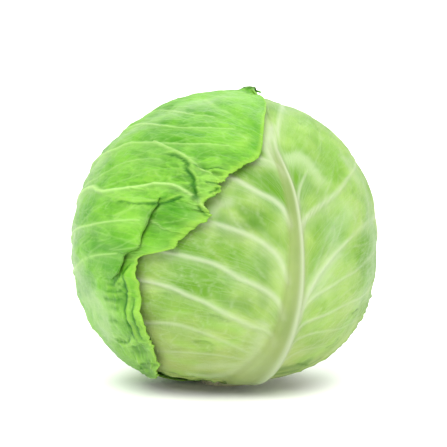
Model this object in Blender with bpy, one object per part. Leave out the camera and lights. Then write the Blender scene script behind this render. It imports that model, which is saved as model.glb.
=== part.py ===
"""Cabbage head, standing on its cut stalk: a dense inner head wrapped in five leaves that spiral round it.

Lengths are in millimetres and angles in degrees, and MM turns a finished point into metres.
+Z is up, the origin is the centre of the stalk's cut face, and -Y is the front.
"""

import math

import bmesh
import bpy
import numpy as np

MM = 0.001

# The head: a ball 75.5 mm in radius before its wrapper leaves, flatter below than above, whose top
# leans a little to the right
INNER_RADIUS = 75.5
HEAD_CENTRE_HEIGHT = 81.2
TOP_FLATNESS = 0.955
TOP_SQUARENESS = 2.05
BASE_FLATNESS = 0.935
BASE_SQUARENESS = 2.4
TOP_LEAN = 0.04
STALK_DIMPLE = 0.06
STALK_DIMPLE_ANGLE = 22.0

STALK_RADIUS = 14.2
STALK_CHAMFER = 0.8
STALK_SIDES = 28

INNER_HEAD_SIDES = 30
INNER_HEAD_RINGS = 16
INNER_LEAF_COUNT = 5
INNER_LEAF_STEP = 1.5
INNER_LEAF_TWIST = 0.35

BLADE_THICKNESS = 0.85
SIDE_VEIN_HUG = 1.7
VEIN_SWEEP = 7.0
VEIN_SWEEP_REACH = 0.09
PETIOLE_GAP = 0.35
PETIOLE_FOOT_ANGLE = 10.0
PETIOLE_ROWS = [(-67.0, 12.4), (-57.5, 16.5), (-54.0, 25.0), (-50.5, 36.0), (-46.0, 46.0)]
TIP_ROW_COUNT = 4
TIP_ROW_ANGLE = 175.0
RIB_COLUMNS = [0.0, 0.5, 1.0]
RIB_PROFILE = [1.0, 0.78, 0.0]

# Each leaf is drawn on the head in degrees from its own middle, which lies on the head's widest line:
# "across" to the right as seen from outside, "along" upwards. A margin is a list of (angle turned from
# the petiole, reach from the leaf's middle). A vein is (where it leaves the rib, the angle where it ends),
# from base to tip, on the right and the left side in turn.
PLAIN_MARGIN = [(10, 80), (12.4, 69), (16.5, 62), (25, 64), (34, 69), (45, 74), (60, 78),
                (90, 81), (120, 88), (150, 94), (175, 96)]
LONG_MARGIN = [(10, 80), (12.4, 69), (16.5, 64), (25, 70), (34, 75), (45, 78), (60, 79),
               (90, 81), (120, 88), (150, 94), (175, 96)]
PLAIN_VEINS = [(-38, 56), (-26, 66), (-10, 88), (6, 104), (24, 124), (42, 142)]
PLAIN_RIB = [(-79, 1.6), (-55, 2.0), (-30, 1.2), (20, 0.7), (96, 0.2)]
STRONG_RIB = [(-79, 2.4), (-66, 3.2), (-54, 4.4), (-44, 4.2), (-36, 3.4), (-10, 2.2), (12, 1.6), (40, 1.2),
              (80, 0.8), (105, 0.2)]
RIB_HALF_WIDTH = [(-79, 8.6), (-58, 9.0), (-48, 8.0), (-36, 5.6), (-20, 4.1), (-10, 3.6), (12, 2.6), (40, 1.8),
                  (80, 1.2), (105, 0.8)]

LEAVES = {
    "right_inner_leaf": {
        "azimuth": -12.5, "lift": 1.3, "columns": 6, "vein_height": 0.3, "bow": 0.08,
        "right_wave": [(10, 0.2), (175, 0.2)], "left_wave": [(10, 0.2), (175, 0.2)],
        "right_margin": PLAIN_MARGIN, "left_margin": PLAIN_MARGIN, "veins": PLAIN_VEINS,
        "rib_height": PLAIN_RIB, "rib_line": [(-79, 0), (96, 0)], "colour": (0.58, 0.75, 0.31),
    },
    "left_inner_leaf": {
        "azimuth": -150.0, "lift": 3.4, "columns": 6, "vein_height": 0.3, "bow": 0.08,
        "right_wave": [(10, 0.2), (175, 0.2)], "left_wave": [(10, 0.2), (175, 0.2)],
        "right_margin": LONG_MARGIN, "left_margin": PLAIN_MARGIN, "veins": PLAIN_VEINS,
        "rib_height": PLAIN_RIB, "rib_line": [(-79, 0), (96, 0)], "colour": (0.58, 0.75, 0.31),
    },
    "back_leaf": {
        "azimuth": 55.0, "lift": 5.4, "columns": 6, "vein_height": 1.0, "bow": 0.10,
        "right_wave": [(10, 0.5), (175, 0.5)], "left_wave": [(10, 0.5), (175, 0.5)],
        "right_margin": [(10, 80), (12.4, 69), (16.5, 62), (25, 65), (34, 71), (45, 77), (60, 80),
                         (90, 84), (120, 92), (150, 95), (175, 96)],
        "left_margin": [(10, 80), (12.4, 69), (16.5, 62), (25, 64), (34, 69), (45, 75), (60, 79),
                        (90, 85), (120, 91), (150, 94), (175, 96)],
        "veins": [(-42, 54), (-37, 60), (-30, 70), (-23, 78), (-14, 88), (-5, 97),
                  (5, 108), (14, 118), (25, 130), (36, 140), (48, 150), (58, 157)],
        "rib_height": STRONG_RIB,
        "rib_line": [(-79, 0), (-40, 2), (0, 1), (40, -2), (100, 0)], "colour": (0.31, 0.61, 0.15),
    },
    "front_leaf": {
        "azimuth": -65.0, "lift": 7.8, "columns": 7, "vein_height": 1.25, "bow": 0.10,
        "right_wave": [(10, 0.8), (36, 0.3), (75, 0.3), (100, 1.2), (175, 1.4)],
        "left_wave": [(10, 0.4), (175, 0.4)],
        "right_margin": [(10, 80), (12.4, 69), (16.5, 61), (25, 60), (36, 60.5), (50, 61), (62, 64),
                         (75, 74), (90, 84), (110, 92), (130, 98), (150, 102), (175, 104)],
        "left_margin": [(10, 80), (12.4, 67), (16.5, 63.5), (22, 65.5), (28, 71), (34, 75.5), (42, 79.5), (50, 82),
                        (70, 85), (90, 88), (110, 94), (130, 99), (150, 102), (175, 104)],
        "veins": [(-42, 52), (-40.5, 57), (-36, 62), (-34, 66), (-29.5, 72), (-27.5, 80), (-22, 81),
                  (-16, 92), (-13.5, 96), (-5, 112), (10, 120), (13, 127), (22, 135), (32, 145)],
        "rib_height": STRONG_RIB,
        "rib_line": [(-79, -3), (-55, -6), (-44, -4.5), (-36, -2.6), (-20, -0.4), (12, 0.4), (25, -0.2),
                     (34, -1.4), (42, -1.8), (50, 0), (60, 3), (75, 5), (105, 4)],
        "colour": (0.50, 0.75, 0.25),
    },
    "left_leaf": {
        "azimuth": 157.5, "lift": 10.7, "columns": 7, "vein_height": 1.1, "bow": 0.08,
        "right_wave": [(10, 1.5), (110, 1.5), (128, 0.4), (175, 0.4)], "left_wave": [(10, 1.0), (175, 1.0)],
        "right_margin": [(10, 80), (12.4, 69), (16.5, 62), (25, 65), (34, 72), (43, 78), (51, 81), (60, 80),
                         (70, 78), (80, 77), (87, 80), (91, 91), (96, 97), (100, 103), (105, 108), (112, 109),
                         (120, 114), (128, 118), (136, 119), (144, 117), (152, 114), (160, 110), (168, 105),
                         (175, 101)],
        "left_margin": [(10, 80), (12.4, 69), (16.5, 62), (25, 64), (34, 67), (45, 70), (60, 71),
                        (80, 73), (100, 76), (120, 83), (140, 89), (160, 91), (168, 95.5),
                        (175, 101)],
        "veins": [(-40, 58), (-34, 64), (-24, 76), (-18, 78), (-10, 89), (-5, 90), (0, 97), (5, 100),
                  (10, 107), (14, 111), (18, 118), (24, 123), (28, 131), (36, 135), (44, 141), (52, 149)],
        "rib_height": STRONG_RIB,
        "rib_line": [(-79, 0), (-40, -2), (0, 0), (60, 2), (101, 0)], "colour": (0.29, 0.64, 0.12),
        "fold": {"from_angle": 79, "to_angle": 109, "fade": 5, "step": 2.6, "lap": 0.012,
                 "share": [(70, 0.88), (81, 0.89), (87, 0.92), (90, 0.91), (94, 0.86), (98, 0.83), (104, 0.80),
                           (115, 0.80)]},
        "curl": {"across": 5.0, "half_width": 8.0, "from_along": 93.0, "to_along": 101.0, "lift": 3.2},
    },
}


def clear_scene():
    for item in list(bpy.data.objects):
        bpy.data.objects.remove(item, do_unlink=True)


def plant_material(name, colour, roughness):
    material = bpy.data.materials.new(name)
    material.use_nodes = True
    shader = material.node_tree.nodes["Principled BSDF"]
    shader.inputs["Base Color"].default_value = (*colour, 1.0)
    shader.inputs["Roughness"].default_value = roughness
    shader.inputs["Metallic"].default_value = 0.0
    return material


def smooth_through(knots, at):
    """A smooth curve through (position, value) knots, read at the positions given."""
    where, value = np.array(knots, float).T
    slope = np.gradient(value, where)
    at = np.clip(at, where[0], where[-1])
    piece = np.clip(np.searchsorted(where, at) - 1, 0, len(where) - 2)
    width = where[piece + 1] - where[piece]
    s = (at - where[piece]) / width
    return (
        value[piece] * (1 + 2 * s) * (1 - s) ** 2
        + slope[piece] * width * s * (1 - s) ** 2
        + value[piece + 1] * s**2 * (3 - 2 * s)
        + slope[piece + 1] * width * s**2 * (s - 1)
    )


def ramp(value):
    """0 below 0, 1 above 1, and a smooth rise between."""
    value = np.clip(value, 0, 1)
    return value**2 * (3 - 2 * value)


def head_radius(direction):
    """The inner head's radius in each direction from its centre, in millimetres."""
    level = np.hypot(direction[..., 0], direction[..., 1])
    upright = np.abs(direction[..., 2])
    above = (level**TOP_SQUARENESS + (upright / TOP_FLATNESS) ** TOP_SQUARENESS) ** (-1 / TOP_SQUARENESS)
    below = (level**BASE_SQUARENESS + (upright / BASE_FLATNESS) ** BASE_SQUARENESS) ** (-1 / BASE_SQUARENESS)
    from_pole = np.degrees(np.arccos(np.clip(-direction[..., 2], -1, 1)))
    below = below * (1 - STALK_DIMPLE * np.exp(-((from_pole / STALK_DIMPLE_ANGLE) ** 2)))
    above = above * (1 + TOP_LEAN * direction[..., 0] * direction[..., 2])
    return INNER_RADIUS * np.where(direction[..., 2] > 0, above, below)


def on_head(azimuth, across, along, lift):
    """The points, in metres, that lie across and along a leaf of that azimuth, lifted off the inner head."""
    turned = math.radians(azimuth)
    outward = np.array([math.cos(turned), math.sin(turned), 0.0])
    rightward = np.array([-math.sin(turned), math.cos(turned), 0.0])
    reach = np.maximum(np.hypot(across, along), 1e-9)
    swing = np.radians(reach)
    direction = (
        np.cos(swing)[..., None] * outward
        + (np.sin(swing) * across / reach)[..., None] * rightward
        + (np.sin(swing) * along / reach)[..., None] * np.array([0.0, 0.0, 1.0])
    )
    radius = head_radius(direction) + lift
    return MM * (direction * radius[..., None] + np.array([0.0, 0.0, HEAD_CENTRE_HEIGHT]))


def leaf_rows(leaf):
    """The rows of a leaf's grid from petiole to tip: where each leaves the rib and, for the right and the
    left side, the angle where it ends and how much of a vein it is (1 on a vein, 0 between veins)."""
    veins = leaf["veins"]
    beside_stalk = head_radius(np.array([0.2, 0.0, -0.98])) + leaf["lift"]
    foot = -90 + math.degrees(math.asin((STALK_RADIUS + PETIOLE_GAP) / beside_stalk))
    base_starts = [foot, *(start for start, _ in PETIOLE_ROWS)]
    base_angles = [PETIOLE_FOOT_ANGLE, *(angle for _, angle in PETIOLE_ROWS)]
    vein_starts = [veins[0][0] - 2.0]
    for number, (start, _) in enumerate(veins):
        following = veins[number + 1][0] if number + 1 < len(veins) else start + 5.0
        vein_starts += [start, (start + following) / 2]
    tip = leaf["right_margin"][-1][1]
    tip_starts = np.linspace(vein_starts[-1], tip, TIP_ROW_COUNT + 1)[1:]
    starts = np.array([*base_starts, *vein_starts, *tip_starts])
    sides = []
    for side in (0, 1):
        angles = np.full(len(starts), np.nan)
        angles[: len(base_angles)] = base_angles
        angles[-1] = TIP_ROW_ANGLE
        vein = np.zeros(len(starts))
        own = range(side, len(veins), 2)
        for number in own:
            row = len(base_angles) + 2 * number + 1
            angles[row - 1 : row + 2] = veins[number][1] + SIDE_VEIN_HUG * np.array([-1, 0, 1])
            vein[row] = 1.0
        known = ~np.isnan(angles)
        rows = np.arange(len(starts))
        angles = np.interp(rows, rows[known], angles[known])
        beside = np.interp(rows, rows[known], np.ones(known.sum()))
        beside[~known] = 0.0
        sides.append((angles, vein, beside))
    return starts, sides


def side_of_leaf(leaf, side, starts, angles, vein, beside):
    """One side of a leaf's grid from the rib's edge to the margin: across, along, and the outer and inner lift."""
    sign = 1 if side == "right" else -1
    column = np.linspace(0, 1, leaf["columns"] + 1)[None, :]
    rib_edge = smooth_through(leaf["rib_line"], starts) + sign * smooth_through(RIB_HALF_WIDTH, starts)
    puffed = smooth_through(leaf[side + "_wave"], angles) * (1 - beside)
    reach = smooth_through(leaf[side + "_margin"], angles) + 0.6 * puffed
    end_across = sign * reach * np.sin(np.radians(angles))
    end_along = -reach * np.cos(np.radians(angles))
    chord_across = end_across - rib_edge
    chord_along = end_along - starts
    bow = leaf["bow"] * ramp((starts + 55) / 20)
    middle_across = rib_edge + chord_across / 2 - sign * bow * chord_along
    middle_along = starts + chord_along / 2 + sign * bow * chord_across
    sweep = (VEIN_SWEEP * ramp((starts + 48) / 30) * ramp((88 - starts) / 30))[:, None]

    def curve(share):
        early, middle, late = (1 - share) ** 2, 2 * share * (1 - share), share**2
        rise = sweep * (1 - share) * (1 - np.exp(-share / VEIN_SWEEP_REACH))
        return (
            early * rib_edge[:, None] + middle * middle_across[:, None] + late * end_across[:, None],
            early * starts[:, None] + middle * middle_along[:, None] + late * end_along[:, None] + rise,
        )

    outer_share = column + 0 * starts[:, None]
    inner_share = outer_share.copy()
    lift = leaf["lift"] + puffed[:, None] * ramp((column - 0.7) / 0.3)
    fold = leaf.get("fold") if side == "right" else None
    if fold:
        amount = ramp((angles - fold["from_angle"]) / fold["fade"]) * ramp((fold["to_angle"] - angles) / fold["fade"])
        top = leaf["columns"] - 2
        under = leaf["columns"] - 1
        at = smooth_through(fold["share"], angles)
        outer_share[:, top] += amount * (at + fold["lap"] - column[0, top])
        outer_share[:, under] += amount * (at - fold["lap"] - column[0, under])
        inner_share[:, top] = outer_share[:, top] - amount * 1.2 * fold["lap"]
        inner_share[:, under] = outer_share[:, under] - amount * 1.2 * fold["lap"]
        raised = ramp((column - 0.35) / 0.3) * (np.arange(leaf["columns"] + 1) <= top)
        lift = lift + fold["step"] * amount[:, None] * raised
    relief = leaf["vein_height"] * vein[:, None] * (1 - 0.75 * column)
    return curve(outer_share), curve(inner_share), lift + BLADE_THICKNESS + relief, lift


def curled_up(curl, across, along):
    """How far the tip of a leaf curls up off the head at each point."""
    near = np.exp(-(((across - curl["across"]) / curl["half_width"]) ** 2))
    return curl["lift"] * near * ramp((along - curl["from_along"]) / (curl["to_along"] - curl["from_along"]))


def leaf_grid(leaf):
    """The outer and the inner face of a leaf as grids of points, base row first and left margin first."""
    starts, sides = leaf_rows(leaf)
    rib_middle = smooth_through(leaf["rib_line"], starts)
    rib_width = smooth_through(RIB_HALF_WIDTH, starts)
    rib_height = smooth_through(leaf["rib_height"], starts)
    outer, inner = {}, {}
    for side, sign, (angles, vein, beside) in (("right", 1, sides[0]), ("left", -1, sides[1])):
        outer_place, inner_place, outer_lift, inner_lift = side_of_leaf(leaf, side, starts, angles, vein, beside)
        rib = [rib_middle + sign * rib_width * share for share in RIB_COLUMNS[:-1]]
        rise = [leaf["lift"] + BLADE_THICKNESS + rib_height * share for share in RIB_PROFILE[:-1]]
        rib_across, rib_along = np.stack(rib, 1), np.repeat(starts[:, None], len(rib), 1)
        outer[side] = (
            np.hstack([rib_across, outer_place[0]]),
            np.hstack([rib_along, outer_place[1]]),
            np.hstack([np.stack(rise, 1), outer_lift]),
        )
        inner[side] = (
            np.hstack([rib_across, inner_place[0]]),
            np.hstack([rib_along, inner_place[1]]),
            np.hstack([np.full_like(rib_across, leaf["lift"]), inner_lift]),
        )
    faces = []
    for face in (outer, inner):
        across, along, lift = (np.hstack([face["left"][k][:, :0:-1], face["right"][k]]) for k in range(3))
        if "curl" in leaf:
            lift = lift + curled_up(leaf["curl"], across, along)
        faces.append(on_head(leaf["azimuth"], across, along, lift))
    return faces


def leaf_mesh(name, leaf):
    """A closed leaf: a triangulated grid laid on its outer face, a copy laid on its inner face, and a rim."""
    outer, inner = leaf_grid(leaf)
    rows, columns = outer.shape[:2]
    sheet = bmesh.new()
    bmesh.ops.create_grid(sheet, x_segments=columns - 1, y_segments=rows - 1, size=1.0)
    bmesh.ops.triangulate(sheet, faces=sheet.faces[:])
    copy = bmesh.ops.duplicate(sheet, geom=sheet.verts[:] + sheet.edges[:] + sheet.faces[:])["geom"]
    bmesh.ops.reverse_faces(sheet, faces=[item for item in copy if isinstance(item, bmesh.types.BMFace)])
    under = [item for item in copy if isinstance(item, bmesh.types.BMVert)]
    over = [vertex for vertex in sheet.verts if vertex not in set(under)]
    for vertex, point in zip(over, outer.reshape(-1, 3)):
        vertex.co = point
    for vertex, point in zip(under, inner.reshape(-1, 3)):
        vertex.co = point
    bmesh.ops.bridge_loops(sheet, edges=[edge for edge in sheet.edges if edge.is_boundary])
    bmesh.ops.triangulate(sheet, faces=sheet.faces[:])
    bmesh.ops.recalc_face_normals(sheet, faces=sheet.faces[:])
    mesh = bpy.data.meshes.new(name)
    sheet.to_mesh(mesh)
    sheet.free()
    return mesh


def add_part(collection, name, mesh, material):
    mesh.shade_smooth()
    mesh.set_sharp_from_angle(angle=math.radians(50))
    mesh.materials.append(material)
    part = bpy.data.objects.new(name, mesh)
    collection.objects.link(part)
    return part


def inner_head_mesh():
    """The dense inner head: a ball whose skin steps down at the edge of each tightly wrapped leaf."""
    ball = bmesh.new()
    bmesh.ops.create_uvsphere(ball, u_segments=INNER_HEAD_SIDES, v_segments=INNER_HEAD_RINGS, radius=1.0)
    for vertex in ball.verts:
        direction = np.array(vertex.co.normalized())
        turn = math.atan2(direction[1], direction[0]) / math.tau
        twist = INNER_LEAF_TWIST * (1 + direction[2])
        level = math.hypot(direction[0], direction[1])
        share = (INNER_LEAF_COUNT * (turn + twist)) % 1.0
        lift = -INNER_LEAF_STEP * share * min(1.0, 2 * level)
        point = direction * (head_radius(direction) + lift) + np.array([0.0, 0.0, HEAD_CENTRE_HEIGHT])
        vertex.co = MM * point
    bmesh.ops.triangulate(ball, faces=ball.faces[:])
    mesh = bpy.data.meshes.new("inner_head")
    ball.to_mesh(mesh)
    ball.free()
    return mesh


def stalk_mesh():
    """The cut stalk: a short round stub from its flat cut face up to the inner head."""
    underside = head_radius(np.array([0.0, 0.0, -1.0])) + INNER_LEAF_STEP
    height = HEAD_CENTRE_HEIGHT - underside
    stub = bmesh.new()
    bmesh.ops.create_cone(
        stub, cap_ends=True, segments=STALK_SIDES, radius1=STALK_RADIUS * MM, radius2=STALK_RADIUS * MM,
        depth=height * MM,
    )
    bmesh.ops.translate(stub, verts=stub.verts[:], vec=(0, 0, height * MM / 2))
    foot = [edge for edge in stub.edges if all(vertex.co.z < MM * height / 2 for vertex in edge.verts)]
    bmesh.ops.bevel(
        stub, geom=foot, offset=STALK_CHAMFER * MM, segments=2, profile=0.5, affect="EDGES", material=-1,
    )
    mesh = bpy.data.meshes.new("stalk")
    stub.to_mesh(mesh)
    stub.free()
    return mesh


def main():
    clear_scene()
    cabbage = bpy.data.collections.new("cabbage_head")
    bpy.context.scene.collection.children.link(cabbage)
    add_part(cabbage, "stalk", stalk_mesh(), plant_material("cut_stalk", (0.75, 0.73, 0.46), 0.6))
    add_part(cabbage, "inner_head", inner_head_mesh(), plant_material("inner_leaves", (0.64, 0.77, 0.38), 0.5))
    for name, leaf in LEAVES.items():
        add_part(cabbage, name, leaf_mesh(name, leaf), plant_material(name + "_blade", leaf["colour"], 0.45))


main()
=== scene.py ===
"""Looks for the cabbage head: fine leaves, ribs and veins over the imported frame, with camera and light."""

import math

import bmesh
import bpy
import numpy as np
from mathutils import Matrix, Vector, noise


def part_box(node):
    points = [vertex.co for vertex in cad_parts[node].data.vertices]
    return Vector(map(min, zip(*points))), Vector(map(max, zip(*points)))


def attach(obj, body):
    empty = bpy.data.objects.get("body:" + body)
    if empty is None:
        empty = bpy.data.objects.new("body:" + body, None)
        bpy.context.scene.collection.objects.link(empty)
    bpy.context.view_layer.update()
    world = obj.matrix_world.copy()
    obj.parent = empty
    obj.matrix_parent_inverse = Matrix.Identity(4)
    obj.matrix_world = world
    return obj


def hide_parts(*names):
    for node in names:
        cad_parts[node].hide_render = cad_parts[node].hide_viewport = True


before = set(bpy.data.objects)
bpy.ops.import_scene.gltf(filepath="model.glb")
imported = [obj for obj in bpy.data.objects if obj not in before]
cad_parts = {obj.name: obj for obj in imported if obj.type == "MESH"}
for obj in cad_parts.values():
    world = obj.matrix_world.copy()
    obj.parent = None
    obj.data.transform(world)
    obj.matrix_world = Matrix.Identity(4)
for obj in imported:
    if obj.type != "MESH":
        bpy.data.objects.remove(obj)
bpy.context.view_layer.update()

# The camera looks level with the upper half of the head, as over a table, and keeps the photo's framing:
# 0.566 mm a pixel at the head's middle, which lies a little below and right of the frame's middle.
MM = 0.001
HEAD_CENTRE_HEIGHT = 81.2
CAMERA_DISTANCE = 900.0
CAMERA_ELEVATION = math.radians(6.0)
CAMERA_LENS = 128.0
AIM_OFFSET = (-1.9, 0, 9.6)

head_centre = Vector((0, 0, HEAD_CENTRE_HEIGHT * MM))
aim = head_centre + Vector(AIM_OFFSET) * MM
camera_data = bpy.data.cameras.new("camera")
camera_data.lens = CAMERA_LENS
camera_data.sensor_width = 36.0
camera = bpy.data.objects.new("camera", camera_data)
camera.location = head_centre + Vector(
    (0, -math.cos(CAMERA_ELEVATION), math.sin(CAMERA_ELEVATION))
) * CAMERA_DISTANCE * MM
camera.rotation_euler = (aim - camera.location).to_track_quat("-Z", "Y").to_euler()
bpy.context.scene.collection.objects.link(camera)
bpy.context.scene.camera = camera
bpy.context.scene.view_settings.view_transform = "Standard"


# The stalk: the short woody stub left where the head was cut from its root. A knife leaves a flat, moist
# face with a pale pith inside a slightly darker, fibrous ring.
STALK_RADIUS = 14.2
STALK_CHAMFER = 0.8
STALK_SIDES = 96


def linear(hex_colour):
    """An sRGB hex colour as the linear red, green, blue and alpha that a shader takes."""
    parts = [int(hex_colour[k : k + 2], 16) / 255 for k in (1, 3, 5)]
    return (*(c / 12.92 if c <= 0.04045 else ((c + 0.055) / 1.055) ** 2.4 for c in parts), 1.0)


def add_node(tree, kind, settings=(), inputs=(), links=()):
    """Adds a node: its settings, its sockets' values, and links from (node, output) into its sockets."""
    node = tree.nodes.new(kind)
    for key, value in dict(settings).items():
        setattr(node, key, value)
    for key, value in dict(inputs).items():
        node.inputs[key].default_value = value
    for key, (source, output) in dict(links).items():
        tree.links.new(source.outputs[output], node.inputs[key])
    return node


def new_tissue(name):
    """A new material, its node tree and its shader."""
    material = bpy.data.materials.new(name)
    material.use_nodes = True
    return material, material.node_tree, material.node_tree.nodes["Principled BSDF"]


def colour_between(tree, shader, dark, light, source, low, high):
    """Colours a skin from dark to light as a pattern's value rises from low to high."""
    share = add_node(tree, "ShaderNodeMapRange", (), {"From Min": low, "From Max": high}, {"Value": source})
    tone = add_node(
        tree, "ShaderNodeMix", {"data_type": "RGBA"}, {"A": linear(dark), "B": linear(light)},
        {"Factor": (share, "Result")},
    )
    tree.links.new(tone.outputs["Result"], shader.inputs["Base Color"])


def mesh_of(name, shape):
    """The mesh of a finished shape."""
    mesh = bpy.data.meshes.new(name)
    shape.to_mesh(mesh)
    shape.free()
    return mesh


def keep_piece(name, mesh, material, slot, *nodes):
    """Makes the piece of that mesh, which rides on the head and stands for those nodes."""
    mesh.shade_smooth()
    mesh.materials.append(material)
    piece = bpy.data.objects.new(name, mesh)
    bpy.context.scene.collection.objects.link(piece)
    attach(piece, "root")
    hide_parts(*nodes)
    return piece


# Pith and wood, cut across: the grain shows as fine rings and spokes, a little brown where air has dried it
pith, tree, shader = new_tissue("cut_cabbage_stalk")
place = add_node(tree, "ShaderNodeTexCoord")
rings = add_node(
    tree, "ShaderNodeTexWave", {"wave_type": "RINGS", "rings_direction": "Z"},
    {"Scale": 190.0, "Distortion": 5.0, "Detail": 3.0, "Detail Scale": 2.0}, {"Vector": (place, "Object")},
)
mottle = add_node(
    tree, "ShaderNodeTexNoise", (), {"Scale": 220.0, "Detail": 6.0}, {"Vector": (place, "Object")}
)
both = add_node(
    tree, "ShaderNodeMath", {"operation": "MULTIPLY_ADD"}, {1: 0.35}, {0: (rings, "Fac"), 2: (mottle, "Fac")}
)
colour_between(tree, shader, "#7F7A46", "#C5C59F", (both, 0), 0.35, 0.85)
ripple = add_node(tree, "ShaderNodeBump", (), {"Strength": 0.5, "Distance": 0.0004}, {"Height": (both, 0)})
tree.links.new(ripple.outputs["Normal"], shader.inputs["Normal"])
shader.inputs["Roughness"].default_value = 0.55

stub = bmesh.new()
stalk_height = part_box("stalk")[1].z
bmesh.ops.create_cone(
    stub, cap_ends=True, segments=STALK_SIDES, radius1=STALK_RADIUS * MM, radius2=STALK_RADIUS * MM,
    depth=stalk_height,
)
bmesh.ops.translate(stub, verts=stub.verts[:], vec=(0, 0, stalk_height / 2))
foot = [edge for edge in stub.edges if all(vertex.co.z < stalk_height / 2 for vertex in edge.verts)]
bmesh.ops.bevel(
    stub, geom=foot, offset=STALK_CHAMFER * MM, segments=3, profile=0.5, affect="EDGES", material=-1
)
upright = [edge for edge in stub.edges if abs(edge.verts[0].co.z - edge.verts[1].co.z) > stalk_height / 2]
bmesh.ops.subdivide_edges(stub, edges=upright, cuts=10, use_grid_fill=True)
# Its side has dried into low, uneven ridges.
for vertex in stub.verts:
    turn = math.atan2(vertex.co.y, vertex.co.x)
    if STALK_CHAMFER * MM * 1.01 < vertex.co.z < stalk_height * 0.99:
        ridge = 0.25 * math.sin(17 * turn) + 0.2 * math.sin(7 * turn + vertex.co.z * 500)
        vertex.co.xy *= 1 - (0.25 + 0.5 * abs(ridge)) / STALK_RADIUS
keep_piece("cut_stalk", mesh_of("cut_stalk", stub), pith, "cut_stalk", "stalk")


# The inner head: young leaves packed so tightly that they read as one ball. Each overlaps the next, so its
# skin steps down along spiral seams, and light never reaches it, which keeps it nearly white.

# As shares of its radius: how high its top and base reach, how far the base is drawn in round the stalk and
# how far the top leans to the right. Fullness is 2 for a ball and more for a squarer shape.
HEAD_RADIUS = 75.5
TOP_HEIGHT = 0.955
TOP_FULLNESS = 2.05
BASE_HEIGHT = 0.935
BASE_FULLNESS = 2.4
BASE_HOLLOW = 0.06
BASE_HOLLOW_ANGLE = 22.0
TOP_LEAN = 0.04
INNER_LEAF_COUNT = 5
INNER_LEAF_STEP = 1.5
INNER_LEAF_TWIST = 0.35


def head_radius(direction):
    """The inner head's radius in each direction from its centre, in millimetres."""
    level = np.hypot(direction[..., 0], direction[..., 1])
    upright = np.abs(direction[..., 2])
    above, below = (
        (level**fullness + (upright / height) ** fullness) ** (-1 / fullness)
        for height, fullness in ((TOP_HEIGHT, TOP_FULLNESS), (BASE_HEIGHT, BASE_FULLNESS))
    )
    from_pole = np.degrees(np.arccos(np.clip(-direction[..., 2], -1, 1)))
    below = below * (1 - BASE_HOLLOW * np.exp(-((from_pole / BASE_HOLLOW_ANGLE) ** 2)))
    above = above * (1 + TOP_LEAN * direction[..., 0] * direction[..., 2])
    return HEAD_RADIUS * np.where(direction[..., 2] > 0, above, below)


# Leaf that grew in the dark: nearly white, faintly streaked with yellow-green, and smooth
blanched, tree, shader = new_tissue("blanched_inner_leaf")
place = add_node(tree, "ShaderNodeTexCoord")
streak = add_node(
    tree, "ShaderNodeTexNoise", (), {"Scale": 60.0, "Detail": 5.0, "Distortion": 0.6},
    {"Vector": (place, "Object")},
)
colour_between(tree, shader, "#ABBD78", "#C9D1AD", (streak, "Fac"), 0.3, 0.7)
shader.inputs["Roughness"].default_value = 0.5

ball = bmesh.new()
bmesh.ops.create_uvsphere(ball, u_segments=220, v_segments=120, radius=1.0)
for vertex in ball.verts:
    direction = np.array(vertex.co.normalized())
    turn = math.atan2(direction[1], direction[0]) / math.tau
    share = (INNER_LEAF_COUNT * (turn + INNER_LEAF_TWIST * (1 + direction[2]))) % 1.0
    level = math.hypot(direction[0], direction[1])
    depth = INNER_LEAF_STEP * share * min(1.0, 2 * level)
    wrinkle = 0.25 * noise.noise(Vector(direction) * 6.0) - 0.25
    radius = head_radius(direction) - depth + wrinkle
    vertex.co = (Vector(direction) * radius + Vector((0, 0, HEAD_CENTRE_HEIGHT))) * MM
keep_piece("inner_leaves", mesh_of("inner_leaves", ball), blanched, "inner_leaf", "inner_head")


# The two inner wrapper leaves: broad blades with a low midrib, almost wholly covered. A leaf is a living
# sheet about 0.8 mm thick that grew from the stalk and folded round the head, outer face with raised veins.
# It is drawn on the head in degrees from its own middle: "across" to the right as seen from outside, and
# "along" upwards. A margin is a list of (angle turned from the petiole, reach from the leaf's middle).
# A vein is (where it leaves the rib, the angle where it ends), on the right and the left side in turn.
OUTER_FACE_LIFT = 0.85
SHEET_THICKNESS = 0.7
MILLIMETRES_A_DEGREE = 1.45
WANDER_SEED_STEP = 7.31
WANDER_STRENGTH = 1.6
RIDGE_SHARPNESS = 3.0

# The rows of a leaf's sheet run from the rib to the margin, along the side veins and between them. Rows on
# the petiole are (where it leaves the rib, the angle where it ends).
PETIOLE_GAP = 0.35
PETIOLE_FOOT_ANGLE = 10.0
PETIOLE_ROWS = [(-67.0, 12.4), (-57.5, 16.5), (-54.0, 25.0), (-50.5, 36.0), (-46.0, 46.0)]
ROW_BEFORE_VEINS = 2.0
ROW_AFTER_VEINS = 5.0
TIP_ROW_COUNT = 4
TIP_ROW_ANGLE = 175.0
ROW_LENGTH = 120.0
SIDE_VEIN_HUG = 1.7
BOW_FROM = -55
BOW_FADE = 20
VEIN_SWEEP = 7.0
VEIN_SWEEP_REACH = 0.09
SWEEP_FROM = -48
SWEEP_TO = 88
SWEEP_FADE = 30

# The midrib: its half width in degrees by how far along the leaf, and its height from its left edge (-1) to
# its right edge (1), with painted shade along a groove on its left, and a pale crest right of its middle
# with a painted highlight on it
RIB_HALF_WIDTH = [(-79, 8.6), (-58, 9.0), (-48, 8.0), (-36, 5.6), (-20, 4.1), (-10, 3.6), (12, 2.6),
                  (40, 1.8), (80, 1.2), (105, 0.8)]
RIB_PROFILE = [(-1.35, 0), (-1.05, 0.1), (-0.75, 0.6), (-0.3, 0.8), (0.2, 0.9), (0.55, 1.0), (0.8, 0.7),
               (1.05, 0.15), (1.35, 0)]
RIB_FADE = 14
CREST_PLACE = 0.56
CREST_WIDTH = 0.3
GROOVE_SHADE_PLACE = -0.95
GROOVE_SHADE_WIDTH = 0.25

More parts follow.
